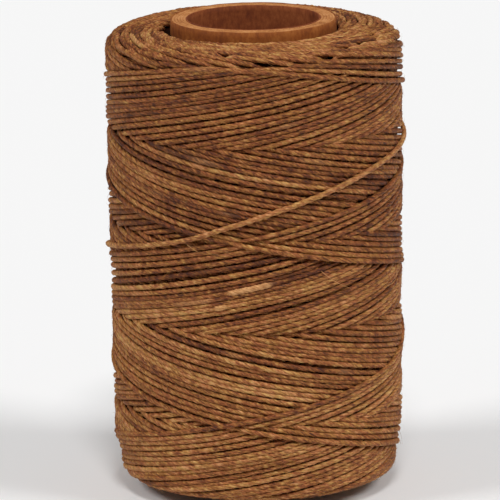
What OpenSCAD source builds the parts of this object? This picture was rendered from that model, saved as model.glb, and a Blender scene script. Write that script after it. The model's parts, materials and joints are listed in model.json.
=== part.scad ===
// Spool of waxed linen thread: a spiral-wound paperboard tube with one continuous
// thread cross-wound on it in double layers. The tube stands on its lower end at z = 0,
// with its axis on Z. Millimetres.

/* [Core tube] */
// Length of the paperboard tube
tube_length = 98; // [60:1:150]
// Bore of the tube, which slips over a peg
bore_d = 27; // [16:0.5:40]
// Wall of the tube, all plies together
tube_wall = 3.5; // [2:0.1:6]
// Thickness of the kraft liner and of the kraft wrap
kraft_t = 0.3; // [0.1:0.05:0.5]
// Break on the tube's rims
rim_break = 0.15; // [0.05:0.01:0.25]

/* [Winding] */
// Diameter over the winding, below its upper shoulder
winding_top_d = 61; // [50:0.5:90]
// Diameter over the winding, above its lower shoulder
winding_foot_d = 59.4; // [50:0.5:90]
// Bare tube left at each end
end_margin = 2.2; // [0.5:0.1:8]
// Height of the rounded shoulder at each end of the full winding
shoulder_h = 4.8; // [2:0.1:10]
// How much further each double layer reaches at each end than the one under it
layer_growth = 1; // [0.2:0.05:1.5]

/* [Thread] */
// Diameter of the waxed thread
thread_d = 1.14; // [0.6:0.02:1.6]

/* [Hidden] */

round_fn = 96;
full_turn = 360;
quarter_turn = 90;

// The tube: a liner, five board plies of equal thickness and a wrap, glued face to face
ply_count = 5;
bore_r = bore_d / 2;
tube_r = bore_r + tube_wall;
ply_t = (tube_wall - 2 * kraft_t) / ply_count;

// The winding: seven double layers, each closed over the shoulders of the one under it
layer_count = 7;
winding_z0 = end_margin;
winding_z1 = tube_length - end_margin;
shoulder_power = 4;
shoulder_steps = 10;

// The last turn, over everything: [degrees from the front, share of the straight side's height]
last_turn_route = [
    [-215, 0.36], [-180, 0.4], [-150, 0.44], [-120, 0.485], [-90, 0.525], [-60, 0.558],
    [-30, 0.598], [-10, 0.64], [10, 0.681], [30, 0.718], [50, 0.752], [70, 0.776],
    [90, 0.795], [120, 0.825], [150, 0.857], [180, 0.886], [210, 0.915],
];
thread_sides = 8;
steps_per_span = 4;

// Colours
kraft_dark = [0.38, 0.22, 0.14];
board_tan = [0.62, 0.46, 0.32];
thread_brown = [0.47, 0.31, 0.19];
thread_light = [0.55, 0.38, 0.25];

// Radius of the full winding's straight side at a height
function side_low() = winding_z0 + shoulder_h;
function side_high() = winding_z1 - shoulder_h;
function side_r(z) =
    (winding_foot_d + (winding_top_d - winding_foot_d) * (z - side_low())
        / (side_high() - side_low())) / 2;

// Half-section of the winding's outside after some number of double layers, as [radius, height]
// from the tube at the upper end, over the shoulder, down the side and back to the tube
function share_of(layers) = layers / layer_count;
function reach_of(layers) = layer_growth * (layer_count - layers);
function corner(angle, width, height) = [
    width * pow(sin(angle), 2 / shoulder_power),
    height * (1 - pow(cos(angle), 2 / shoulder_power)),
];
function shoulder(layers, outer_d) = [
    for (i = [0 : shoulder_steps])
        corner(quarter_turn * i / shoulder_steps, (outer_d / 2 - tube_r) * share_of(layers),
            shoulder_h * share_of(layers))
];
function backwards(points) = [for (i = [len(points) - 1 : -1 : 0]) points[i]];
function envelope(layers) = concat(
    [for (p = shoulder(layers, winding_top_d)) [tube_r + p[0], winding_z1 - reach_of(layers) - p[1]]],
    [for (p = backwards(shoulder(layers, winding_foot_d)))
        [tube_r + p[0], winding_z0 + reach_of(layers) + p[1]]]
);

// A point on a smooth curve through route points b and c, between them at t from 0 to 1
function curve_point(a, b, c, d, t) =
    (2 * b + (c - a) * t + (2 * a - 5 * b + 4 * c - d) * t * t
        + (3 * b - a - 3 * c + d) * t * t * t) / 2;
function clamped(list, i) = list[max(0, min(len(list) - 1, i))];
function smooth_route(route) = concat(
    [for (i = [0 : len(route) - 2], k = [0 : steps_per_span - 1])
        curve_point(clamped(route, i - 1), route[i], route[i + 1], clamped(route, i + 2),
            k / steps_per_span)],
    [route[len(route) - 1]]
);

// Where the last turn's centreline lies: on the full winding, half a thread out
function on_side(p) =
    let (z = side_low() + p[1] * (side_high() - side_low()), r = side_r(z) + thread_d / 2)
        [r * sin(p[0]), -r * cos(p[0]), z];
function unit(v) = v / norm(v);
function outward(p) = unit([p[0], p[1], 0]);
function along(path, i) = unit(clamped(path, i + 1) - clamped(path, i - 1));
function ring_points(path, i) =
    let (
        heading = along(path, i),
        out = outward(path[i]),
        up = unit(out - (out * heading) * heading),
        side = cross(heading, up)
    )
    [for (k = [0 : thread_sides - 1])
        let (angle = full_turn * (k + 0.5) / thread_sides)
            path[i] + thread_d / 2 * (cos(angle) * up + sin(angle) * side)];

// One ply of the tube, or its liner or wrap
module tube_shell(inner_r, thickness, inner_break, outer_break) {
    rotate_extrude($fn = round_fn)
        polygon([
            [inner_r + inner_break, 0],
            [inner_r + thickness - outer_break, 0],
            [inner_r + thickness, outer_break],
            [inner_r + thickness, tube_length - outer_break],
            [inner_r + thickness - outer_break, tube_length],
            [inner_r + inner_break, tube_length],
            [inner_r, tube_length - inner_break],
            [inner_r, inner_break],
        ]);
}

module core_liner() {
    color(kraft_dark)
        tube_shell(bore_r, kraft_t, rim_break, 0);
}

module core_ply(number) {
    color(board_tan)
        tube_shell(bore_r + kraft_t + ply_t * (number - 1), ply_t, 0, 0);
}

module core_wrap() {
    color(kraft_dark)
        tube_shell(tube_r - kraft_t, kraft_t, 0, rim_break);
}

// One double layer of thread: an upward and a downward pass that cross each other
module winding_layer(number) {
    inside = number > 1 ? backwards(envelope(number - 1)) : [];
    color(thread_brown)
        rotate_extrude($fn = round_fn)
            polygon(concat(envelope(number), inside));
}

module last_turn() {
    path = [for (p = smooth_route(last_turn_route)) on_side(p)];
    rings = len(path);
    sides = thread_sides;
    points = [for (i = [0 : rings - 1]) each ring_points(path, i)];
    walls = [
        for (i = [0 : rings - 2], k = [0 : sides - 1])
            [i * sides + k, i * sides + (k + 1) % sides,
                (i + 1) * sides + (k + 1) % sides, (i + 1) * sides + k]
    ];
    first_end = [for (k = [sides - 1 : -1 : 0]) k];
    second_end = [for (k = [0 : sides - 1]) (rings - 1) * sides + k];
    color(thread_light)
        polyhedron(points, concat([first_end], walls, [second_end]));
}

core_liner();
core_ply(1);  // core_ply_1
core_ply(2);  // core_ply_2
core_ply(3);  // core_ply_3
core_ply(4);  // core_ply_4
core_ply(5);  // core_ply_5
core_wrap();
winding_layer(1);  // winding_layer_1
winding_layer(2);  // winding_layer_2
winding_layer(3);  // winding_layer_3
winding_layer(4);  // winding_layer_4
winding_layer(5);  // winding_layer_5
winding_layer(6);  // winding_layer_6
winding_layer(7);  // winding_layer_7
last_turn();
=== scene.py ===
import json
import math

import bpy
import numpy as np
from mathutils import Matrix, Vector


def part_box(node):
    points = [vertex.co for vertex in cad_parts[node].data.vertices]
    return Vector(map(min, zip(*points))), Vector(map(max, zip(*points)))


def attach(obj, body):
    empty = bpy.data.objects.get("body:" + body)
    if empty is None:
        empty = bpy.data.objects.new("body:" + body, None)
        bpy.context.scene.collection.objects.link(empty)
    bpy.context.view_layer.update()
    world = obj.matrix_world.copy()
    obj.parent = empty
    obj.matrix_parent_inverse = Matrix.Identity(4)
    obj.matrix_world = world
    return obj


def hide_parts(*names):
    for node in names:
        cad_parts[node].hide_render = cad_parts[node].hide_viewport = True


# A spool of waxed linen thread: the outer double layer and the last turn as plied thread,
# the turns of the buried layers where they show on the shoulders, and the paper tube.

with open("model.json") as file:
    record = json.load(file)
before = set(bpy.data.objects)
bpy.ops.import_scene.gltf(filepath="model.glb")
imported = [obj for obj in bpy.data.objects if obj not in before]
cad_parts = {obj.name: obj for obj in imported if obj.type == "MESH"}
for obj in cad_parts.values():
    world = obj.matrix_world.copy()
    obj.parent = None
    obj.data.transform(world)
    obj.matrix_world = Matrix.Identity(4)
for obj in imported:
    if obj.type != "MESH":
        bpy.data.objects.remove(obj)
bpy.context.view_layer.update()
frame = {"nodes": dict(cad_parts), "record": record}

MM = 0.001
TURN = 2 * math.pi

# ---- Sizes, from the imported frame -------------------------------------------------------

BORE_R = next(m["dims"]["r_mm"] for m in frame["record"]["mounts"] if m["name"] == "core_bore") * MM
TUBE_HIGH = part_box("core_wrap")[1]
TUBE_R = TUBE_HIGH.x
TUBE_LENGTH = TUBE_HIGH.z
WOUND_LOW, WOUND_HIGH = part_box("winding_layer_7")
TOP_R = WOUND_HIGH.x
NARROWING = 0.8 * MM  # radius lost from the top of the side to its foot
FOOT_R = TOP_R - NARROWING
FOOT_SHOULDER = 4.8 * MM  # height of the rounded part at the foot
TOP_SHOULDER = 5.5 * MM  # and at the top, where it swells a little
SHOULDER_POWER = 4  # 2 would be an ellipse, and more is squarer
SIDE_LOW = WOUND_LOW.z + FOOT_SHOULDER
SIDE = WOUND_HIGH.z - FOOT_SHOULDER - SIDE_LOW  # the height of the straight side
TAPER = 1.1 * MM  # how much the side draws in just above the foot
TAPER_H = 7 * MM  # and over what height

# ---- The thread and how it is wound -----------------------------------------------------

THREAD_D = 1.14 * MM
THREAD_R = THREAD_D / 2
PLIES = 4
COLUMNS = 2 * PLIES
VALLEY = 0.87  # radius between two plies, as a share of the radius over them
LUMPINESS = 0.03  # spread of the radius from point to point, as a share
TWIST_LENGTH = 7.6 * MM  # of one full turn of the plies
SQUASH = 1.01  # the thread beds down a little wider than it is thick
RING_STEP = 0.7 * MM  # between two rings of a strand's mesh

CYCLES = 33  # upward and downward passes that lie side by side in one double layer
STROKE_TURNS = 2.5 - 0.5 / CYCLES
SEAM_ANGLE = math.radians(-14.5)  # where the newest passes cross on the front
TOP_REACH = 4.6 * MM  # how far the passes go on over each shoulder before they turn back
FOOT_REACH = 6.8 * MM
PITCH = (SIDE + TOP_REACH + FOOT_REACH) / STROKE_TURNS
SINK = 0.86 * THREAD_D  # how much deeper a crossed thread lies
FINAL_TURNS = 0.943  # the newest pass, up to where the last turn leaves the layer
LEAVING_TURNS = 0.22  # the end of it, which climbs to where the last turn starts
NEWEST = 0.1  # share of the passes that lie loosest and highest
ROUNDING = 1.4 * MM  # of the turning points, and twice this for the newest
TURN_SLIP = 0.55 * MM  # spread of the turning points
TURN_BACK = 9 * MM  # length over which one of them draws its pass along
STRAYING = [  # knots in a pass, spread and how neighbouring passes share it
    (13, 0.17 * MM, (1, 2, 1)),
    (4, 0.24 * MM, (1, 2, 3, 2, 1)),
    (30, 0.05 * MM, (1,)),
]
CROWDED, CROWDED_H = 0.07, 16 * MM  # thicker, closer turns at the foot
APART, APART_H = 0.08, 5 * MM  # thinner, looser turns at the top
RUNS = 4  # pieces that the layer's thread is cut into
CUT_SEARCH = 2500  # samples each way, to cut the thread where it is buried

PRESSED = 0.28 * MM  # how far the last turn beds into the winding
OWN_TINT = 1.7  # paler than most of the winding
JOINED_SAMPLES = 40  # over which it takes on its own straying and tone
ROUTE_SAMPLES = 24  # between two places of its route
LAST_TURN_ROUTE = [  # degrees from the front and share of the straight side's height
    (-215, 0.36), (-180, 0.4), (-150, 0.44), (-120, 0.485), (-90, 0.525), (-60, 0.558),
    (-30, 0.598), (-10, 0.64), (10, 0.681), (30, 0.718), (50, 0.752), (70, 0.776),
    (90, 0.795), (120, 0.825), (150, 0.857), (180, 0.886), (210, 0.915),
]

random = np.random.default_rng(7)


# ---- Curves and noise -------------------------------------------------------------------


def unit(v):
    return v / np.linalg.norm(v, axis=-1, keepdims=True)


def angle_between(a, b):
    return abs((a - b + math.pi) % TURN - math.pi)


def smoothstep(x):
    x = np.clip(x, 0, 1)
    return x * x * (3 - 2 * x)


def blurred(values, width, times=2):
    """Values averaged along their length, over width neighbours."""
    kernel = np.ones(width) / width
    for _ in range(times):
        values = np.convolve(np.pad(values, width // 2, mode="edge"), kernel, mode="valid")
    return values


def wander(count, spread, knot_every):
    """A smooth random walk about zero along count samples."""
    knots = random.normal(0, spread, count // knot_every + 3)
    at = np.arange(count) / knot_every
    low = at.astype(int)
    t = smoothstep(at - low)
    return knots[low] * (1 - t) + knots[low + 1] * t


def kept_together(knots, kernel):
    """Random knots, pass by pass, blurred so that neighbouring passes drift together."""
    kernel = np.array(kernel) / np.linalg.norm(kernel)
    wide = np.concatenate([knots[-len(kernel) :], knots, knots[: len(kernel)]])
    drift = sum(k * np.roll(wide, i - len(kernel) // 2, axis=0) for i, k in enumerate(kernel))
    return drift[len(kernel) : -len(kernel)]


def drift_of(passes, share, knots, spread, kernel):
    """How far each sample strays, given its pass and how far along the pass it is."""
    field = kept_together(random.normal(0, spread, (CYCLES, knots + 2)), kernel)
    at = share * knots
    low = np.clip(at.astype(int), 0, knots)
    t = smoothstep(at - low)
    row = passes % CYCLES
    return field[row, low] * (1 - t) + field[row, low + 1] * t


def catmull_rom(points, per_span):
    """Points on a smooth curve through the given ones."""
    p = np.array(points, float)
    p = np.vstack([p[:1], p, p[-1:]])
    out = []
    for a, b, c, d in zip(p[:-3], p[1:-2], p[2:-1], p[3:]):
        t = np.linspace(0, 1, per_span, endpoint=False)[:, None]
        cubic = (3 * b - a - 3 * c + d) * t**3
        out.append((2 * b + (c - a) * t + (2 * a - 5 * b + 4 * c - d) * t**2 + cubic) / 2)
    return np.vstack(out + [p[-1:]])


def steps_along(path):
    return np.linalg.norm(np.diff(path, axis=0), axis=1)


def length_along(path):
    """The distance travelled along a path at each of its points."""
    return np.concatenate([[0], np.cumsum(steps_along(path))])


def evenly(points, step):
    """The same curve with points about a step apart."""
    along = length_along(points)
    wanted = np.linspace(0, along[-1], max(2, int(along[-1] / step) + 1))
    return np.stack([np.interp(wanted, along, points[:, k]) for k in range(points.shape[1])], 1)


# ---- The winding's outside --------------------------------------------------------------

SHOULDER_SAMPLES = 400
round_shoulder = np.linspace(0, math.pi / 2, SHOULDER_SAMPLES)
shoulder_out = np.cos(round_shoulder) ** (2 / SHOULDER_POWER)
shoulder_up = np.sin(round_shoulder) ** (2 / SHOULDER_POWER)


def shoulder_arc(outer, height):
    """The distance travelled over a shoulder at each sample of it."""
    steps = np.hypot(np.diff(shoulder_out) * (outer - TUBE_R), np.diff(shoulder_up) * height)
    return np.concatenate([[0], np.cumsum(steps)])


TOP_ARC = shoulder_arc(TOP_R, TOP_SHOULDER)
FOOT_ARC = shoulder_arc(FOOT_R - TAPER, FOOT_SHOULDER)


def side_radius(height):
    """The winding's radius at a height on its side."""
    straight = FOOT_R + (TOP_R - FOOT_R) * np.clip((height - SIDE_LOW) / SIDE, 0, 1)
    return straight - TAPER * smoothstep(1 - (height - SIDE_LOW) / TAPER_H)


def on_winding(angle, along, depth):
    """Points at an angle, a distance along the winding's outside from the foot of its side,
    and a depth under it."""
    angle, along, depth = np.broadcast_arrays(angle, along, depth)
    over = np.interp(along - SIDE, TOP_ARC, round_shoulder)
    over = over + np.interp(-along, FOOT_ARC, round_shoulder)
    out = np.cos(over) ** (2 / SHOULDER_POWER)
    tall = np.where(along > 0, TOP_SHOULDER, FOOT_SHOULDER)
    up = np.sin(over) ** (2 / SHOULDER_POWER) * (tall - depth)
    height = SIDE_LOW + np.clip(along, 0, SIDE)
    radius = TUBE_R + (side_radius(height) - depth - TUBE_R) * out
    height = height + np.where(along > SIDE, up, np.where(along < 0, -up, 0))
    return np.stack([radius * np.sin(angle), -radius * np.cos(angle), height], -1)


# ---- Meshes -----------------------------------------------------------------------------


def new_object(name, points, quads, material, ends=()):
    """A mesh object from arrays of points and quads, and polygons that close its ends."""
    mesh = bpy.data.meshes.new(name)
    quads = np.asarray(quads, np.int32)
    corners = np.concatenate([quads.ravel(), *[np.asarray(e, np.int32) for e in ends]])
    starts = np.concatenate([
        np.arange(len(quads)) * 4,
        len(quads) * 4 + np.cumsum([0] + [len(e) for e in ends])[: len(ends)],
    ]).astype(np.int32)
    totals = np.array([4] * len(quads) + [len(e) for e in ends], np.int32)
    mesh.vertices.add(len(points))
    mesh.vertices.foreach_set("co", np.asarray(points, np.float32).ravel())
    mesh.loops.add(len(corners))
    mesh.loops.foreach_set("vertex_index", corners)
    mesh.polygons.add(len(starts))
    mesh.polygons.foreach_set("loop_start", starts)
    mesh.polygons.foreach_set("loop_total", totals)
    mesh.polygons.foreach_set("use_smooth", np.ones(len(starts), bool))
    mesh.update()
    mesh.validate()
    mesh.materials.append(material)
    piece = bpy.data.objects.new(name, mesh)
    bpy.context.scene.collection.objects.link(piece)
    return piece


def set_numbers(piece, name, values):
    attribute = piece.data.attributes.new(name, "FLOAT", "POINT")
    attribute.data.foreach_set("value", np.asarray(values, np.float32))


def set_vectors(piece, name, values):
    attribute = piece.data.attributes.new(name, "FLOAT_VECTOR", "POINT")
    attribute.data.foreach_set("vector", np.asarray(values, np.float32).ravel())


def directions_along(path, outward):
    """Outward and sideways directions, square to a path."""
    heading = unit(np.gradient(path, axis=0))
    out = unit(outward - (outward * heading).sum(1, keepdims=True) * heading)
    return out, np.cross(heading, out)


def quads_round(rings, sides):
    """Quads between the rings of points of a thin tube."""
    ring = np.arange(rings - 1)[:, None] * sides
    next_ring = ring + sides
    column = np.arange(sides)
    after = (column + 1) % sides
    quads = np.stack([ring + column, ring + after, next_ring + after, next_ring + column], -1)
    return quads.reshape(-1, 4)


def strand(path, outward, radius, first_twist):
    """The points and quads of one twisted, plied strand, its ends' polygons, and per point:
    the distance along, the angle round it in the plies' own turning frame, and 1 where it
    lies between two plies."""
    rings = len(path)
    out, side = directions_along(path, outward)
    along = length_along(path)
    column = np.arange(COLUMNS)
    own = TURN * column / COLUMNS
    angle = first_twist + TURN * along[:, None] / TWIST_LENGTH + own
    size = np.broadcast_to(radius, (rings,))[:, None] * np.where(column % 2, VALLEY, 1)
    size = size * (1 + random.normal(0, LUMPINESS, size.shape))
    lift = size * np.cos(angle) / SQUASH
    spread = size * np.sin(angle) * SQUASH
    points = path[:, None] + lift[..., None] * out[:, None] + spread[..., None] * side[:, None]
    return (
        points.reshape(-1, 3),
        quads_round(rings, COLUMNS),
        [column[::-1], (rings - 1) * COLUMNS + column],
        np.repeat(along, COLUMNS),
        np.broadcast_to(own, (rings, COLUMNS)).ravel(),
        np.broadcast_to(column % 2, (rings, COLUMNS)).ravel().astype(float),
    )


STRAND_GAP = 1.7 * THREAD_D  # of texture, between two strands of one object
TWIST_PER_METRE = 40  # radians that a strand starts with, for each metre of texture before it


def strand_piece(name, strands, material):
    """One object from several strands, each (path, outward, radius, tint, pale). Their
    texture runs on from one to the next."""
    points, quads, ends = [], [], []
    along, round_it, between_plies = [], [], []
    tints, pales = [], []
    count = 0
    start = 0.0
    for path, outward, radius, tint, pale in strands:
        made = strand(path, outward, radius, start * TWIST_PER_METRE)
        points.append(made[0])
        quads.append(made[1] + count)
        ends += [end + count for end in made[2]]
        along.append(made[3] + start)
        round_it.append(made[4])
        between_plies.append(made[5])
        tints.append(np.repeat(np.broadcast_to(tint, (len(path),)), COLUMNS))
        pales.append(np.repeat(np.broadcast_to(pale, (len(path),)), COLUMNS))
        count += len(made[0])
        start += made[3][-1] + STRAND_GAP
    along = np.concatenate(along)
    round_it = np.concatenate(round_it)
    piece = new_object(name, np.concatenate(points), np.concatenate(quads), material, ends)
    fibre = np.stack([along, THREAD_R * np.cos(round_it), THREAD_R * np.sin(round_it)], 1)
    set_vectors(piece, "fibre", fibre)
    set_numbers(piece, "valley", np.concatenate(between_plies))
    set_numbers(piece, "tint", np.concatenate(tints))
    set_numbers(piece, "pale", np.concatenate(pales))
    lay_out_strips(piece, along)
    return piece


STRIP_MARGIN = 0.08  # free share of a strip on each side


def lay_out_strips(piece, along):
    """A UV map for strands: strips side by side, each a stretch of thread, with the way round
    the thread across the strip. The end polygons are laid out last."""
    mesh = piece.data
    strips = max(1, round(math.sqrt(along.max() / (TURN * THREAD_R))))
    strip_length = along.max() * 1.0001 / strips  # so that the far end is in the last strip
    vertex = np.empty(len(mesh.loops), np.int32)
    mesh.loops.foreach_get("vertex_index", vertex)
    quads = len([p for p in mesh.polygons if p.loop_total == 4])
    quad_corners = vertex[: quads * 4].reshape(-1, 4)
    column = quad_corners % COLUMNS
    across = np.where((column == 0) & (column[:, :1] == COLUMNS - 1), COLUMNS, column) / COLUMNS
    distance = along[quad_corners]
    strip = np.floor(distance.min(1) / strip_length)[:, None]
    u = distance / strip_length - strip
    v = (strip + STRIP_MARGIN + (1 - 2 * STRIP_MARGIN) * across) / strips
    uv = np.zeros((len(vertex), 2), np.float32)
    uv[: quads * 4, 0] = np.clip(u, 0, 1).ravel()
    uv[: quads * 4, 1] = v.ravel()
    rest = vertex[quads * 4 :]
    uv[quads * 4 :, 0] = (along[rest] / strip_length) % 1
    uv[quads * 4 :, 1] = (np.floor(along[rest] / strip_length) + 0.5 + 0.1 * np.sin(rest)) / strips
    layer = mesh.uv_layers.new(name="OFBake")
    layer.data.foreach_set("uv", uv.ravel())


# ---- Materials --------------------------------------------------------------------------


class Nodes:
    """A short way to write a material's node tree, with colours as in sRGB."""

    def __init__(self, name):
        self.material = bpy.data.materials.new(name)
        self.material.use_nodes = True
        self.tree = self.material.node_tree
        self.shader = self.tree.nodes["Principled BSDF"]

    def add(self, kind, **settings):
        node = self.tree.nodes.new(kind)
        for key, value in settings.items():
            setattr(node, key, value)
        return node

    def join(self, source, target):
        self.tree.links.new(source, target)

    def attribute(self, name, output="Fac"):
        return self.add("ShaderNodeAttribute", attribute_name=name).outputs[output]

    def stretched(self, vector, scale):
        node = self.add("ShaderNodeMapping")
        node.inputs["Scale"].default_value = scale
        self.join(vector, node.inputs["Vector"])
        return node.outputs["Vector"]

    def place(self):
        return self.add("ShaderNodeTexCoord").outputs["Object"]

    def noise(self, vector, scale, detail, roughness):
        node = self.add("ShaderNodeTexNoise")
        node.inputs["Scale"].default_value = scale
        node.inputs["Detail"].default_value = detail
        node.inputs["Roughness"].default_value = roughness
        self.join(vector, node.inputs["Vector"])
        return node.outputs["Fac"]

    def between(self, value, low, high, to_low=0.0, to_high=1.0):
        node = self.add("ShaderNodeMapRange", interpolation_type="SMOOTHSTEP")
        node.inputs["From Min"].default_value = low
        node.inputs["From Max"].default_value = high
        node.inputs["To Min"].default_value = to_low
        node.inputs["To Max"].default_value = to_high
        self.join(value, node.inputs["Value"])
        return node.outputs["Result"]

    def maths(self, operation, a, b):
        node = self.add("ShaderNodeMath", operation=operation)
        for socket, value in zip(node.inputs, (a, b)):
            if isinstance(value, (int, float)):
                socket.default_value = value
            else:
                self.join(value, socket)
        return node.outputs["Value"]

    def weighted(self, *parts):
        """The sum of some values, each times its weight."""
        total = self.maths("MULTIPLY", *parts[0])
        for part in parts[1:]:
            total = self.maths("ADD", total, self.maths("MULTIPLY", *part))
        return total

    def ramp(self, value, stops):
        node = self.add("ShaderNodeValToRGB")
        elements = node.color_ramp.elements
        while len(elements) < len(stops):
            elements.new(0.5)
        for element, (place, colour) in zip(elements, stops):
            element.position = place
            element.color = (*linear(colour), 1)
        self.join(value, node.inputs["Fac"])
        return node.outputs["Color"]

    def mix(self, factor, a, b, blend="MIX"):
        node = self.add("ShaderNodeMix", data_type="RGBA", blend_type=blend)
        colours = [s for s in node.inputs if s.type == "RGBA"]
        if isinstance(factor, float):
            node.inputs["Factor"].default_value = factor
        else:
            self.join(factor, node.inputs["Factor"])
        for socket, value in zip(colours, (a, b)):
            if isinstance(value, tuple):
                socket.default_value = (*linear(value), 1)
            else:
                self.join(value, socket)
        return next(s for s in node.outputs if s.type == "RGBA")

    def bump(self, height, strength, distance):
        node = self.add("ShaderNodeBump")
        node.inputs["Strength"].default_value = strength
        node.inputs["Distance"].default_value = distance
        self.join(height, node.inputs["Height"])
        return node.outputs["Normal"]

    def finish(self, colour, roughness=None, normal=None, **constants):
        self.join(colour, self.shader.inputs["Base Color"])
        if roughness is not None:
            self.join(roughness, self.shader.inputs["Roughness"])
        if normal is not None:
            self.join(normal, self.shader.inputs["Normal"])
        for key, value in constants.items():
            self.shader.inputs[key.replace("_", " ")].default_value = value
        return self.material


def linear(colour):
    """An sRGB colour as the linear numbers that sockets take."""
    return tuple(c / 12.92 if c <= 0.04045 else ((c + 0.055) / 1.055) ** 2.4 for c in colour)


def thread_material():
    """Brown waxed linen: long fibres that follow the plies, painted shade between the plies, a
    patchy bloom of wax on the crests, slow changes of tone along the thread and painted shade
    over the upper half."""
    n = Nodes("waxed_linen")
    fibre = n.attribute("fibre", "Vector")
    place = n.place()
    streaks = n.noise(n.stretched(fibre, (0.25, 1, 1)), 3900, 4, 0.65)
    mottle = n.noise(n.stretched(fibre, (0.55, 1, 1)), 1500, 3, 0.6)
    slow = n.noise(place, 60, 3, 0.6)
    patches = n.noise(place, 380, 2, 0.5)
    tone = n.weighted(
        (streaks, 0.6), (mottle, 0.5), (slow, 0.15), (patches, 0.18), (n.attribute("tint"), 0.045)
    )
    # painted light and shade: the colour darkens over the upper half and stays lighter low down,
    # standing in for the floor's bounced light on the lower half
    height = n.add("ShaderNodeSeparateXYZ")  # the upper half is a little darker
    n.join(place, height.inputs["Vector"])
    tone = n.maths("ADD", tone, n.between(height.outputs["Z"], 0.042, 0.054, -0.012, -0.050))
    colour = n.ramp(tone, [
        (0.52, (0.28, 0.12, 0.03)),
        (0.61, (0.47, 0.26, 0.105)),
        (0.68, (0.61, 0.38, 0.185)),
        (0.75, (0.72, 0.50, 0.28)),
        (0.86, (0.86, 0.68, 0.46)),
    ])
    flecks = n.between(n.noise(n.stretched(fibre, (0.4, 1, 1)), 1100, 2, 0.6), 0.42, 0.58)
    hue = n.mix(flecks, (1.0, 0.91, 0.90), (1.0, 0.99, 0.88))
    colour = n.mix(1.0, colour, hue, "MULTIPLY")
    # painted shade: the colour is darkened between the plies, where shade falls in the grooves
    colour = n.mix(n.maths("MULTIPLY", n.attribute("valley"), 0.35), colour, (0.16, 0.05, 0.01))
    bleached = n.ramp(streaks, [(0.36, (0.68, 0.45, 0.25)), (0.62, (0.92, 0.70, 0.47))])
    colour = n.mix(n.attribute("pale"), colour, bleached)
    rough = n.between(mottle, 0.35, 0.7, 0.55, 0.72)
    normal = n.bump(streaks, 0.7, 0.00015)
    return n.finish(colour, rough, normal, Specular_IOR_Level=0.28, Sheen_Weight=0.02,
                    Sheen_Roughness=0.5)


def painted_shade_pack_material():
    """The thread deeper in the pack, which shows only in the gaps: coloured near-black as painted
    shade.
    """
    n = Nodes("buried_thread_painted_shade")
    place = n.place()
    turns = n.noise(n.stretched(place, (0.12, 0.12, 1)), 900, 3, 0.6)
    # painted shade: near-black browns, far darker than the linen, for the shade deep in the gaps
    colour = n.ramp(turns, [(0.3, (0.07, 0.015, 0.003)), (0.7, (0.17, 0.065, 0.018))])
    normal = n.bump(turns, 0.8, 0.0005)
    return n.finish(colour, None, normal, Roughness=0.9, Specular_IOR_Level=0.05)


def kraft_material(name, dark, middle, light):
    """Kraft paper: short pulp fibres, cloudy tone and scuffs."""
    n = Nodes(name)
    place = n.place()
    clouds = n.noise(place, 150, 4, 0.65)
    pulp = n.noise(n.stretched(place, (1, 1, 0.45)), 1500, 5, 0.7)
    tone = n.weighted((clouds, 0.6), (pulp, 0.4))
    colour = n.ramp(tone, [(0.34, dark), (0.5, middle), (0.66, light)])
    rough = n.between(clouds, 0.3, 0.7, 0.72, 0.88)
    normal = n.bump(pulp, 0.35, 0.00015)
    return n.finish(colour, rough, normal, Specular_IOR_Level=0.3)


def board_material():
    """The cut edge of paperboard: layered, fibrous and paler than its faces."""
    n = Nodes("board_edge")
    place = n.place()
    flecks = n.noise(place, 2600, 4, 0.7)
    clouds = n.noise(place, 260, 3, 0.6)
    tone = n.weighted((flecks, 0.55), (clouds, 0.45))
    colour = n.ramp(tone, [
        (0.34, (0.56, 0.33, 0.16)),
        (0.5, (0.73, 0.485, 0.275)),
        (0.68, (0.84, 0.61, 0.40)),
    ])
    normal = n.bump(flecks, 0.5, 0.0002)
    return n.finish(colour, None, normal, Roughness=0.9, Specular_IOR_Level=0.25)


# ---- Camera -----------------------------------------------------------------------------

CAMERA_DISTANCE = 1.15
CAMERA_ELEVATION = math.radians(13.0)
CAMERA_LEAN = math.radians(-0.76)
FRAME_WIDTH = 0.1031  # of the view, at the tube's axis
AIM = (-1.3 * MM, 0.0, 49.2 * MM)
SENSOR = 36.0


def make_camera():
    """A distant camera, a little above the spool's middle."""
    back = np.array([0, -math.cos(CAMERA_ELEVATION), math.sin(CAMERA_ELEVATION)])
    data = bpy.data.cameras.new("camera")
    data.sensor_width = SENSOR
    data.lens = SENSOR * CAMERA_DISTANCE / FRAME_WIDTH
    camera = bpy.data.objects.new("camera", data)
    camera.location = np.array(AIM) + back * CAMERA_DISTANCE
    camera.rotation_euler = (math.pi / 2 - CAMERA_ELEVATION, 0, 0)
    camera.rotation_euler.rotate_axis("Z", CAMERA_LEAN)
    bpy.context.scene.collection.objects.link(camera)
    bpy.context.scene.camera = camera


make_camera()

# ---- The outer double layer: one thread, cut into runs where it is buried ---------------


def over_crossing(round_it, along, upward, newness):
    """How far a pass lies on top of the one it crosses, from 0 to 1. The newer one is on top,
    and the last of all lies over everything."""
    height = (along - (SIDE + TOP_REACH - PITCH)) / PITCH
    other = np.where(upward, -height - round_it, height - round_it) % 1
    threads_ahead = CYCLES * (newness - other)
    threads_ahead[newness == 1] = CYCLES
    return blurred(smoothstep(threads_ahead / 1.2 + 0.5), 5)


def turned_back(along, low, high, stroke, upward, fresh):
    """The same distances with rounded turning points, a little different each time."""
    slip = random.normal(0, TURN_SLIP, 2 * CYCLES + 3)
    slip[-6:] = 0
    to_top, to_foot = high - along, along - low
    at_top = stroke + np.where(upward, 1, 0)
    at_foot = stroke + np.where(upward, 0, 1)
    rounding = ROUNDING * (1 + fresh)
    along = along - (np.hypot(to_top, rounding) - to_top)
    along = along + (np.hypot(to_foot, rounding) - to_foot)
    along = along + slip[at_top] * smoothstep(1 - to_top / TURN_BACK)
    return along - slip[at_foot] * smoothstep(1 - to_foot / TURN_BACK)


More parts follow.
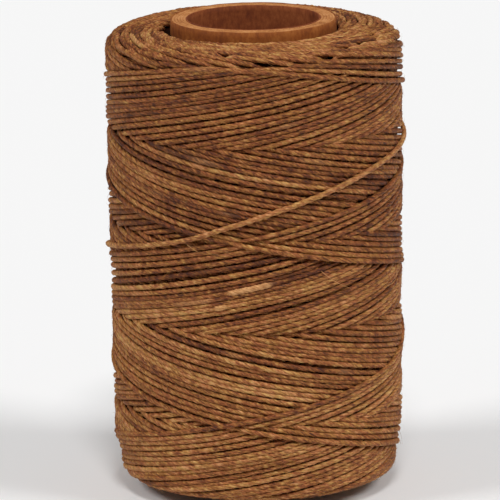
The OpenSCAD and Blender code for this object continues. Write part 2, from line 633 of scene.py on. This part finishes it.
def wound_path():
    """The thread of the outer double layer, as angle, distance along the outside and depth,
    and how far it lies on top of the pass it crosses, from 0 to 1."""
    last = 2 * CYCLES * STROKE_TURNS
    mean = TURN * (TOP_R + FOOT_R) / 2
    per_turn = math.hypot(mean, PITCH) / RING_STEP
    turn = np.linspace(0, last + FINAL_TURNS, int((last + FINAL_TURNS) * per_turn))
    round_it = turn + 0.5
    stroke = np.minimum((turn / STROKE_TURNS).astype(int), 2 * CYCLES)
    share = turn / STROKE_TURNS - stroke
    upward = stroke % 2 == 0
    climbed = np.where(upward, share, 1 - share)
    low, high = -FOOT_REACH, SIDE + TOP_REACH
    along = low + (high - low) * climbed
    newness = np.where(upward, np.floor(stroke / 2) / CYCLES, stroke / (2 * CYCLES))
    fresh = smoothstep((newness - (1 - NEWEST)) / NEWEST)
    on_top = over_crossing(round_it, along, upward, newness)
    along = turned_back(along, low, high, stroke, upward, fresh)

    # Passes stray a little, mostly together with their neighbours
    cycle = stroke // 2
    for family in (upward, ~upward):
        stray = sum(drift_of(cycle, share, *kind) for kind in STRAYING)
        along = along + np.where(family, stray, 0)

    depth = THREAD_R + SINK * (1 - on_top)
    depth = depth + wander(len(turn), 0.07 * MM, 40) + wander(len(turn), 0.05 * MM, 150)
    newest = smoothstep((newness - (1 - 1.6 / CYCLES)) * CYCLES)
    depth = depth - THREAD_D * (0.12 * fresh + 0.3 * newest) * on_top
    angle = SEAM_ANGLE + TURN * round_it

    # The final stretch climbs on to the layer and eases into the last turn
    leaving = smoothstep((turn - (turn[-1] - LEAVING_TURNS)) / LEAVING_TURNS)
    start_share = LAST_TURN_ROUTE[0][1]
    depth = depth * (1 - leaving) + (PRESSED - THREAD_R) * leaving
    along = along * (1 - leaving) + start_share * SIDE * leaving
    return angle, along, depth, on_top


def outward_on_winding(angle, along):
    """The winding's outward direction at some places."""
    inner = on_winding(angle, along, 1.2 * MM)
    outer = on_winding(angle, along, 0)
    return unit(outer - inner)


def tints_along(count):
    """Slow changes of tone along a thread."""
    return wander(count, 0.75, 260) + wander(count, 0.55, 45)


def slubs_along(count):
    """Thick, paler places in the linen, as a share from 0 to 1 at each sample."""
    slubs = np.zeros(count)
    for at in random.integers(0, count, int(count * SLUB_CHANCE)):
        half = int(random.uniform(2, 9))
        span = np.arange(max(0, at - half), min(count, at + half))
        bulge = smoothstep(1 - np.abs(span - at) / half) * random.uniform(0.3, 1)
        slubs[span] = np.maximum(slubs[span], bulge)
    return slubs


SLUB_CHANCE = 0.004  # at each sample
SLUBS = [  # degrees from the front, height up the side, length, paleness and swelling
    (-3.3, 40.9 * MM, 8.8 * MM, 0.75, 0.28),
    (-26, 37.9 * MM, 9.5 * MM, 0.32, 0.06),
    (-14.1, 37.4 * MM, 1.6 * MM, 0.5, 0.16),
]

angle, along, depth, on_top = wound_path()
path = on_winding(angle, along, depth)
outward = outward_on_winding(angle, along)
count = len(path)

slubs = slubs_along(count)
radius = THREAD_R * (1 + wander(count, 0.045, 30) + 0.16 * slubs)
radius = radius * (1 + CROWDED * smoothstep(1 - along / CROWDED_H))
radius = radius * (1 - APART * smoothstep((along - SIDE) / APART_H + 1))
tint = tints_along(count)
pale = 0.25 * slubs

# The pale slubs that show on the front
for slub_angle, slub_along, slub_length, paleness, swelling in SLUBS:
    aside = angle_between(angle, math.radians(slub_angle)) * TOP_R
    miss = np.hypot(aside, along - slub_along) + np.where(on_top > 0.9, 0, 1)
    middle = int(np.argmin(miss))
    half = max(1, int(slub_length / 2 / RING_STEP))
    span = np.arange(middle - half, middle + half + 1)
    blunt = np.minimum(1, 4 * (1 - np.abs(span - middle) / (half + 1)))
    radius[span] = THREAD_R * (1 + swelling * blunt)
    pale[span] = np.maximum(pale[span], paleness * blunt)
    path[span] += outward[span] * (0.6 * swelling * THREAD_D * blunt)[:, None]

linen = thread_material()


def buried_near(index):
    """A sample near this one that newer passes cover."""
    window = blurred(on_top[index - CUT_SEARCH : index + CUT_SEARCH], 15)
    offset = np.abs(np.arange(len(window)) - CUT_SEARCH) / CUT_SEARCH
    return index - CUT_SEARCH + int(np.argmin(window + 0.2 * offset))


cuts = [0] + [buried_near(count * i // RUNS) for i in range(1, RUNS)] + [count - 1]
for number, (first, last) in enumerate(zip(cuts[:-1], cuts[1:]), 1):
    part = slice(first, last + 1)
    run = strand_piece(
        f"thread_run_{number}",
        [(path[part], outward[part], radius[part], tint[part], pale[part])],
        linen,
    )
    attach(run, "root")
    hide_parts("winding_layer_7")


# ---- The last turn, over everything -----------------------------------------------------


def make_last_turn():
    """The last turn: it starts as the layer's own thread and gains its own straying,
    thickness and tone."""
    route = catmull_rom(LAST_TURN_ROUTE, ROUTE_SAMPLES)
    centre = on_winding(np.radians(route[:, 0]), route[:, 1] * SIDE, PRESSED - THREAD_R)
    centre = evenly(centre, RING_STEP)
    out = unit(centre * (1, 1, 0))
    samples = len(centre)
    begun = smoothstep(np.arange(samples) / JOINED_SAMPLES)
    centre = centre + out * (wander(samples, 0.03 * MM, 25) * begun)[:, None]
    centre[:, 2] += wander(samples, 0.05 * MM, 30) * begun
    size = THREAD_R * (1.03 + wander(samples, 0.035, 25) * begun)
    own_tint = OWN_TINT + wander(samples, 0.5, 40)
    piece = strand_piece(
        "last_turn_of_thread",
        [(centre, out, size, tint[-1] * (1 - begun) + own_tint * begun, 0.08 * begun)],
        linen,
    )
    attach(piece, "root")
    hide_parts("last_turn")


make_last_turn()

# ---- Earlier passes where they turn back, on the shoulders ------------------------------

BURIED_LAYERS = 6
BESIDE_TUBE = 0.55 * THREAD_D  # from the innermost loops to the tube
LEAN = PITCH / TURN  # how far a pass moves along the outside in a radian
LOOP_STEP = 0.7 * MM
LOOP_BEHIND = 5 * MM  # how far a loop can be followed back from where it turns
TAIL = 5 * MM  # and how far on, once the next layer covers it
LOOP_BENDS = (0.7 * MM, 1.8 * MM)  # the tightest and the widest
UNEVEN = 0.12 * MM  # spread of the loops' places beside each other
RAGGED = 0.7  # how much less far some reach, as a share of their layer's band
RAGGED_OUTERMOST = 0.3
CREVICE = math.radians(-84)  # the winding stands off the tube here
CREVICE_HALF = 0.6  # half its width, in radians
CREVICE_GAP = 2.1 * MM
DIP_FROM = 3.2 * MM  # from the tube: here the winding starts to dip towards it
DIP = 0.35 * MM
CREVICE_DIP = 0.8 * MM
PAINTED_LIGHT_ANGLE = math.radians(22)  # here the upper shoulder is painted paler, as painted light from above and the right
FADE = 1.3  # radians over which the deeper dip and the painted light on the shoulder fade out


def lane_angles(arc, radius_at):
    """How far round the axis a thread goes as it runs out to the edge of a shoulder, from
    each sample of it, when neighbouring threads lie side by side."""
    middle = (radius_at[1:] + radius_at[:-1]) / 2
    slope = LEAN / middle
    return np.concatenate([[0], np.cumsum(np.diff(arc) * np.sqrt(1 - slope**2) / slope / middle)])


def loop_course(crest, bend, band, arc, radius_at):
    """The course of one loop from behind its crest to where it is well covered: the distance
    from the bend, the fall from the crest, the angle turned and the radius there."""
    crest_r = np.interp(crest, arc, radius_at)
    ahead = (band + 0.3 * MM) * crest_r / LEAN + TAIL
    travel = np.arange(-LOOP_BEHIND, ahead, LOOP_STEP)
    down = LEAN / crest_r * (np.hypot(travel, bend) - bend)
    for _ in range(2):
        here_r = np.interp(crest - down, arc, radius_at)
        change = LEAN / here_r * travel / np.hypot(travel, bend) * LOOP_STEP
        down = np.cumsum(change)
        down = down - np.interp(0, travel, down)
    turned = np.cumsum(LOOP_STEP * np.sqrt(1 - (LEAN / here_r) ** 2) / here_r)
    turned = turned - np.interp(bend, travel, turned)
    return travel, down, turned, here_r


def shoulder_loops(name, upward):
    """Where the passes of the buried layers turn back: each rises from below, bends over and
    runs outward and down beside its neighbours, until the next layer covers it."""
    arc, outer = (TOP_ARC, TOP_R) if upward else (FOOT_ARC, FOOT_R - TAPER)
    edge = TOP_REACH if upward else FOOT_REACH
    radius_at = TUBE_R + (outer - TUBE_R) * shoulder_out
    lanes = lane_angles(arc, radius_at)
    band = (arc[-1] - BESIDE_TUBE - edge) / BURIED_LAYERS
    loops = []
    for layer in range(BURIED_LAYERS):
        for i in range(CYCLES):
            ragged = RAGGED if layer else RAGGED_OUTERMOST
            crest = edge + band * (BURIED_LAYERS - layer) - random.uniform(0, ragged) * band
            lane = TURN * i / CYCLES + random.normal(0, UNEVEN) / LEAN
            middle = lane - np.interp(crest, arc, lanes)
            from_crevice = angle_between(middle, CREVICE)
            if upward and from_crevice < CREVICE_HALF:
                crest = min(crest, arc[-1] - CREVICE_GAP)
            bend = random.uniform(*LOOP_BENDS)
            travel, down, turned, here_r = loop_course(crest, bend, band, arc, radius_at)
            turned = turned + middle + (0 if upward else math.pi)
            along = SIDE + (crest - down) if upward else down - crest
            # How deep it lies: under the next layer, where it rises, and beside the tube
            covered = smoothstep((down - band) / (0.5 * band)) * (travel > 0)
            rising = smoothstep(-travel / LOOP_BEHIND * 1.2)
            sink = 1.3 * THREAD_D * covered + 1.5 * THREAD_D * rising
            sink = sink + random.uniform(0, 0.22) * MM + wander(len(travel), 0.05 * MM, 6)
            near_tube = smoothstep((TUBE_R + DIP_FROM - here_r) / (3 * MM))
            dip = (DIP + CREVICE_DIP * smoothstep(FADE - from_crevice)) * near_tube
            line = on_winding(turned, along, THREAD_R + sink + dip)
            size = THREAD_R * (1 + random.normal(0, 0.04))
            tone = 0.5 + random.normal(0, 0.9) + wander(len(line), 0.4, 8)
            if upward:
                # painted light: loops near this angle on the upper shoulder are paler, for light
                # from above and the right
                from_painted_light = angle_between(middle, PAINTED_LIGHT_ANGLE)
                tone = tone + 1.3 * smoothstep(FADE - from_painted_light) * smoothstep(near_tube + 0.4)
            loops.append((line, outward_on_winding(turned, along), size, tone, 0.0))
    piece = strand_piece(name, loops, linen)
    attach(piece, "root")
    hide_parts("winding_layer_7")


shoulder_loops("upper_shoulder_loops", True)
shoulder_loops("lower_shoulder_loops", False)

# The buried layers keep their CAD shapes, coloured with painted shade for the dark of the gaps
buried = painted_shade_pack_material()
for number in range(1, BURIED_LAYERS + 1):
    node = frame["nodes"][f"winding_layer_{number}"]
    node.data.materials.clear()
    node.data.materials.append(buried)

# ---- The paperboard tube ----------------------------------------------------------------

BOARD_PLIES = 5
SEAM_LEAD = 76 * MM  # height that a paper strip's edge climbs in one turn
SEAM_GAP = 0.45 * MM  # between two turns of the strip
SEAM_DEPTH = 0.16 * MM
LINER_SEAM = math.radians(20)  # where the strips' edges meet the top
WRAP_SEAM = math.radians(150)
RIM_SOFTNESS = 0.12 * MM
RIM_RAGGED = 0.03 * MM
END_DIP = 0.09 * MM  # the most that one ply stands below the longest
TUBE_COLUMNS = 240
TUBE_RINGS = 90


def ply_piece(name, node, material, inner_r, outer_r,
              seam_side=None, seam_at=0.0, end_dip=0.0):
    """One ply of the tube: a shell with soft rims, whose columns climb with its strip's edge,
    so that the gap between two turns of the strip can be a groove."""
    seam_columns = np.array([-2, -1, 1, 2]) * SEAM_GAP / 2 / outer_r
    plain = np.linspace(seam_columns[-1], TURN + seam_columns[0], TUBE_COLUMNS - 2)[1:-1]
    columns = np.concatenate([seam_columns, plain])
    grooved = np.concatenate([[0, 1, 1, 0], np.zeros(len(plain))])
    soft = min(RIM_SOFTNESS, (outer_r - inner_r) / 3)
    heights = np.linspace(soft, TUBE_LENGTH - soft, TUBE_RINGS)
    profile = [(inner_r, z, 1) for z in heights]
    profile += [(inner_r + soft, TUBE_LENGTH, 0), (outer_r - soft, TUBE_LENGTH, 0)]
    profile += [(outer_r, z, -1) for z in heights[::-1]]
    profile += [(outer_r - soft, 0, 0), (inner_r + soft, 0, 0)]
    profile = np.array(profile)
    r, z, side = (np.repeat(profile[:, k : k + 1], len(columns), 1) for k in range(3))
    angle = columns[None] + TURN * (z - TUBE_LENGTH) / SEAM_LEAD + seam_at
    if seam_side is not None:
        r = r + SEAM_DEPTH * grooved * np.where(side == seam_side, seam_side, 0)
    ragged = sum(
        random.normal(0, RIM_RAGGED) * np.sin(angle * k + random.uniform(0, TURN))
        for k in (2, 5, 11, 23, 41)
    )
    top, foot = z > TUBE_LENGTH - 2 * soft, z < 2 * soft
    short = np.abs(ragged) + end_dip
    z = z - np.where(top, short, 0) + np.where(foot, short, 0)
    points = np.stack([r * np.sin(angle), -r * np.cos(angle), z], -1).reshape(-1, 3)
    rows, wide = len(profile), len(columns)
    row, column = np.arange(rows)[:, None] * wide, np.arange(wide)
    next_row = (np.arange(rows)[:, None] + 1) % rows * wide
    after = (column + 1) % wide
    quads = np.stack([row + column, next_row + column, next_row + after, row + after], -1)
    piece = new_object(name, points, quads.reshape(-1, 4), material)
    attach(piece, "root")
    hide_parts(node)


def make_tube():
    """The liner, the board plies and the wrap, from the bore outward."""
    liner = kraft_material(
        "kraft_liner", (0.36, 0.14, 0.055), (0.51, 0.25, 0.107), (0.63, 0.35, 0.18)
    )
    wrap = kraft_material(
        "kraft_wrap", (0.40, 0.17, 0.05), (0.555, 0.30, 0.102), (0.68, 0.42, 0.19)
    )
    board = board_material()
    radii = [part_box("core_liner")[1].x]
    radii += [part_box(f"core_ply_{number}")[1].x for number in range(1, BOARD_PLIES + 1)]
    ply_piece("tube_liner", "core_liner", liner, BORE_R, radii[0],
              seam_side=1, seam_at=LINER_SEAM)
    for number in range(1, BOARD_PLIES + 1):
        ply_piece(f"tube_ply_{number}", f"core_ply_{number}", board,
                  radii[number - 1], radii[number], end_dip=random.uniform(0, END_DIP))
    ply_piece("tube_wrap", "core_wrap", wrap, radii[-1], TUBE_R,
              seam_side=-1, seam_at=WRAP_SEAM)


make_tube()

# ---- Loose fibres -----------------------------------------------------------------------

HAIRS = 5200
LONG_HAIRS = 160  # of them
HAIR_R = 0.026 * MM
HAIR_POINTS = 6
HAIR_SIDES = 3


def hair_material():
    """Loose linen fibre, paler than the thread."""
    n = Nodes("linen_hair")
    tone = n.noise(n.place(), 900, 2, 0.5)
    colour = n.ramp(tone, [(0.3, (0.50, 0.30, 0.15)), (0.7, (0.80, 0.62, 0.43))])
    return n.finish(colour, None, None, Roughness=0.75, Specular_IOR_Level=0.2)


def make_hairs():
    """Short hairs of linen that stand a little off the thread, and a few longer ones."""
    shown = np.flatnonzero(on_top > 0.9)[20:-20]
    at = random.choice(shown, HAIRS, replace=False)
    heading = unit(path[at + 2] - path[at - 2]) * random.choice([-1, 1], HAIRS)[:, None]
    out = outward[at]
    side = np.cross(heading, out)
    lean = random.uniform(-1, 1, HAIRS)[:, None]
    foot = path[at] + THREAD_R * 0.95 * (out * np.cos(lean) + side * np.sin(lean))
    length = random.uniform(0.5, 1.8, HAIRS) * MM
    length[:LONG_HAIRS] = random.uniform(2, 5, LONG_HAIRS) * MM
    t = np.linspace(0, 1, HAIR_POINTS)[None, :, None]
    stray = side * (lean * 0.4 + random.normal(0, 0.3, (HAIRS, 1)))
    lift = out * random.uniform(0.1, 0.5, (HAIRS, 1))
    shape = heading[:, None] * t + stray[:, None] * t**2 + lift[:, None] * (t - 0.6 * t**2)
    line = foot[:, None] + length[:, None, None] * shape
    size = HAIR_R * random.uniform(0.7, 1.4, (HAIRS, 1, 1)) * (1 - 0.65 * t)
    corner = (TURN * np.arange(HAIR_SIDES) / HAIR_SIDES)[:, None, None, None]
    round_it = np.cos(corner) * out[:, None] + np.sin(corner) * side[:, None]
    points = (line + size * round_it).transpose(1, 2, 0, 3)
    first = np.arange(HAIRS)[:, None, None] * HAIR_POINTS * HAIR_SIDES
    quads = (first + quads_round(HAIR_POINTS, HAIR_SIDES)).reshape(-1, 4)
    hairs = new_object("linen_hairs", points.reshape(-1, 3), quads, hair_material())
    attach(hairs, "root")


make_hairs()

STRAY_FIBRES = [  # from and to: degrees from the front and height up the side
    ((25.5, 43.9 * MM), (39, 39.4 * MM)),
    ((-27.5, 49.6 * MM), (-22.5, 48.3 * MM)),
    ((62, 37.6 * MM), (71, 40.2 * MM)),
    ((-160, 30.0 * MM), (-148, 34.5 * MM)),
    ((140, 61.0 * MM), (151, 58.5 * MM)),
]
STRAY_R = 0.075 * MM
STRAY_POINTS = 15


def make_stray_fibres():
    """Long pale fibres that have worked loose and lie across the threads."""
    strays = []
    t = np.linspace(0, 1, STRAY_POINTS)
    for (angle_0, along_0), (angle_1, along_1) in STRAY_FIBRES:
        curl = random.uniform(-0.9, 0.9) * MM * np.sin(math.pi * t)
        turned = np.radians(angle_0 + (angle_1 - angle_0) * t)
        up = along_0 + (along_1 - along_0) * t + curl
        off = 0.1 * MM + 0.5 * MM * np.sin(math.pi * t**1.5)
        strays.append((
            on_winding(turned, up, -off),
            outward_on_winding(turned, up),
            STRAY_R * (1 - 0.6 * t),
            0.0,
            0.9,
        ))
    piece = strand_piece("stray_fibres", strays, linen)
    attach(piece, "root")


make_stray_fibres()

# ---- Floor and light --------------------------------------------------------------------

FLOOR_SIZE = 8
FLOOR_GREY = 0.93
BACKDROP = 1.0  # the world's brightness where the camera sees it
FILL = 0.2  # and as light on the spool


def make_floor():
    """A pale matt floor."""
    n = Nodes("pale_floor")
    n.shader.inputs["Base Color"].default_value = (FLOOR_GREY, FLOOR_GREY, FLOOR_GREY, 1)
    n.shader.inputs["Roughness"].default_value = 0.9
    n.shader.inputs["Specular IOR Level"].default_value = 0.0
    bpy.ops.mesh.primitive_plane_add(size=FLOOR_SIZE, location=(0, 0, 0))
    floor = bpy.context.object
    floor.name = "floor"
    floor.data.materials.append(n.material)


def sun(name, azimuth, elevation, strength, softness):
    """A soft distant light, placed by degrees round from the front and above the floor."""
    data = bpy.data.lights.new(name, "SUN")
    data.energy = strength
    data.angle = math.radians(softness)
    lamp = bpy.data.objects.new(name, data)
    lamp.rotation_euler = (math.radians(90 - elevation), 0, math.radians(azimuth))
    bpy.context.scene.collection.objects.link(lamp)


def make_light():
    """A white surround that lights the spool faintly, and three soft lights."""
    world = bpy.data.worlds.new("world")
    world.use_nodes = True
    bpy.context.scene.world = world
    tree = world.node_tree
    background = tree.nodes["Background"]
    rays = tree.nodes.new("ShaderNodeLightPath")
    level = tree.nodes.new("ShaderNodeMapRange")
    level.inputs["To Min"].default_value = FILL
    level.inputs["To Max"].default_value = BACKDROP
    tree.links.new(rays.outputs["Is Camera Ray"], level.inputs["Value"])
    background.inputs["Color"].default_value = (1, 1, 1, 1)
    tree.links.new(level.outputs["Result"], background.inputs["Strength"])
    sun("left_light", -70, 43, 1.15, 20)
    sun("right_light", 66, 44, 1.25, 20)
    sun("front_light", 4, 56, 1.02, 12)


make_floor()
make_light()
bpy.context.scene.view_settings.view_transform = "Standard"
